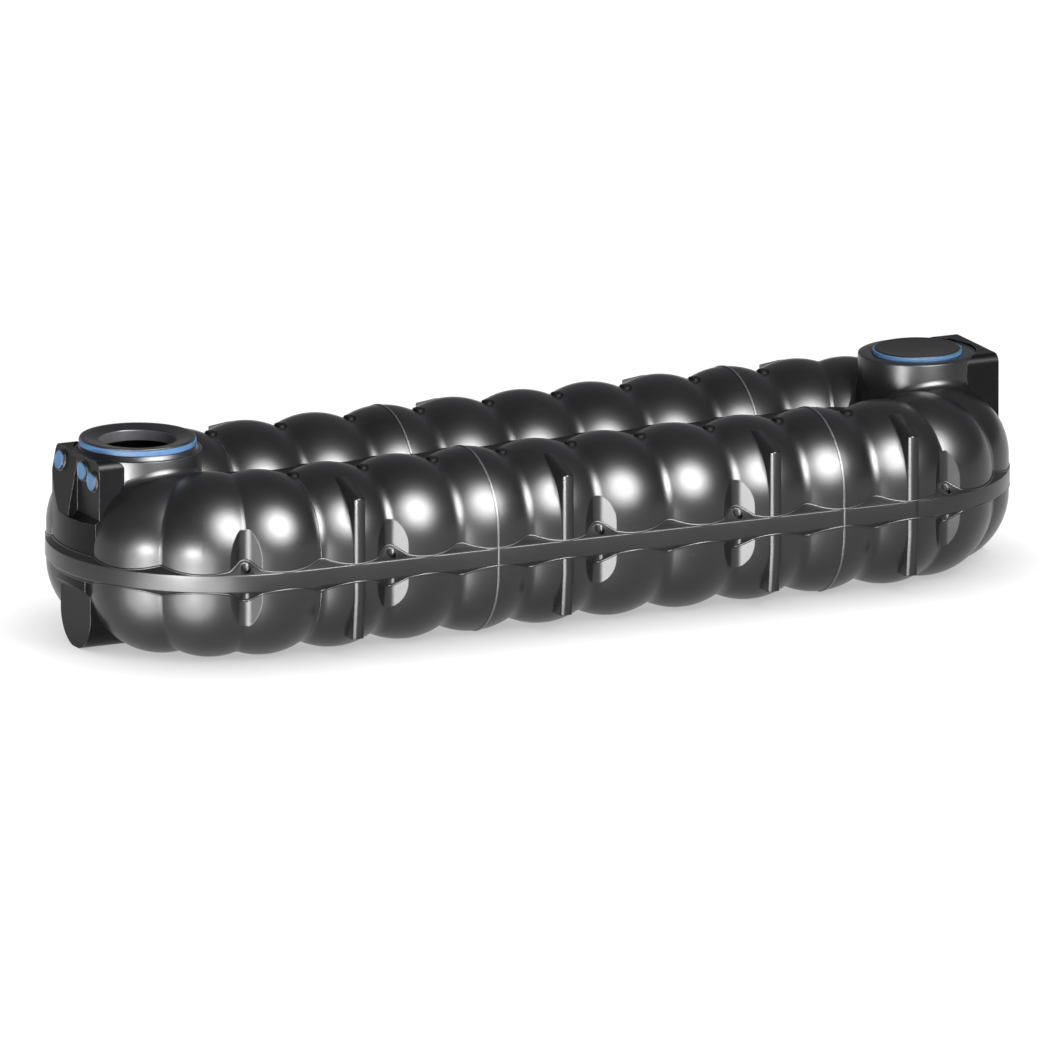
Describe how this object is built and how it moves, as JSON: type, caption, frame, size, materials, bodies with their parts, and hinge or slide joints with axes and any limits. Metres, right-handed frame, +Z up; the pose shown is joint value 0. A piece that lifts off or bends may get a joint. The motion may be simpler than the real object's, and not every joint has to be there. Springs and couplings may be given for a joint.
{
  "type": "underground cistern",
  "caption": "Flat black plastic underground water tank: a ring of rounded lobes with rim band, ribs, lashing eyes, an open neck and a lidded neck.",
  "frame": {"origin": "on the ground below the middle of the tank", "axes": "+X along the tank from the open neck to the lidded neck, +Y to the back row, +Z up"},
  "size_m": [6.908, 2.32, 1.412],
  "materials": {
    "tank_black": "semi-gloss moulded",
    "lid_black": "semi-gloss moulded",
    "weld_bead": "satin",
    "blue_seal": "satin",
    "blue_plug": "satin"
  },
  "bodies": {
    "root": {"back_groove_pads": "tank_black", "back_lashing_eyes": "tank_black", "back_rib_1": "tank_black", "back_rib_2": "tank_black", "back_rib_3": "tank_black", "back_rib_4": "tank_black", "front_groove_pads": "tank_black", "front_lashing_eyes": "tank_black", "front_rib_1": "tank_black", "front_rib_2": "tank_black", "front_rib_3": "tank_black", "front_rib_4": "tank_black", "left_back_lower_shell": "tank_black", "left_back_upper_shell": "tank_black", "left_end_lower_shell": "tank_black", "left_end_upper_shell": "tank_black", "left_floor_web": "tank_black", "left_foot": "tank_black", "left_front_lower_shell": "tank_black", "left_front_upper_shell": "tank_black", "left_inlet_block": "tank_black", "left_neck": "tank_black", "left_neck_gasket": "blue_seal", "left_rim_band": "tank_black", "left_roof_web": "tank_black", "left_weld_seam": "weld_bead", "middle_back_lower_shell": "tank_black", "middle_back_rim_band": "tank_black", "middle_back_upper_shell": "tank_black", "middle_floor_web": "tank_black", "middle_front_lower_shell": "tank_black", "middle_front_rim_band": "tank_black", "middle_front_upper_shell": "tank_black", "middle_roof_web": "tank_black", "pipe_plugs": "blue_plug", "pipe_sockets": "tank_black", "right_end_lower_shell": "tank_black", "right_end_upper_shell": "tank_black", "right_floor_web": "tank_black", "right_foot": "tank_black", "right_inlet_block": "tank_black", "right_lid": "lid_black", "right_lid_gasket": "blue_seal", "right_neck": "tank_black", "right_rim_band": "tank_black", "right_roof_web": "tank_black", "right_weld_seam": "weld_bead"}
  },
  "joints": []
}
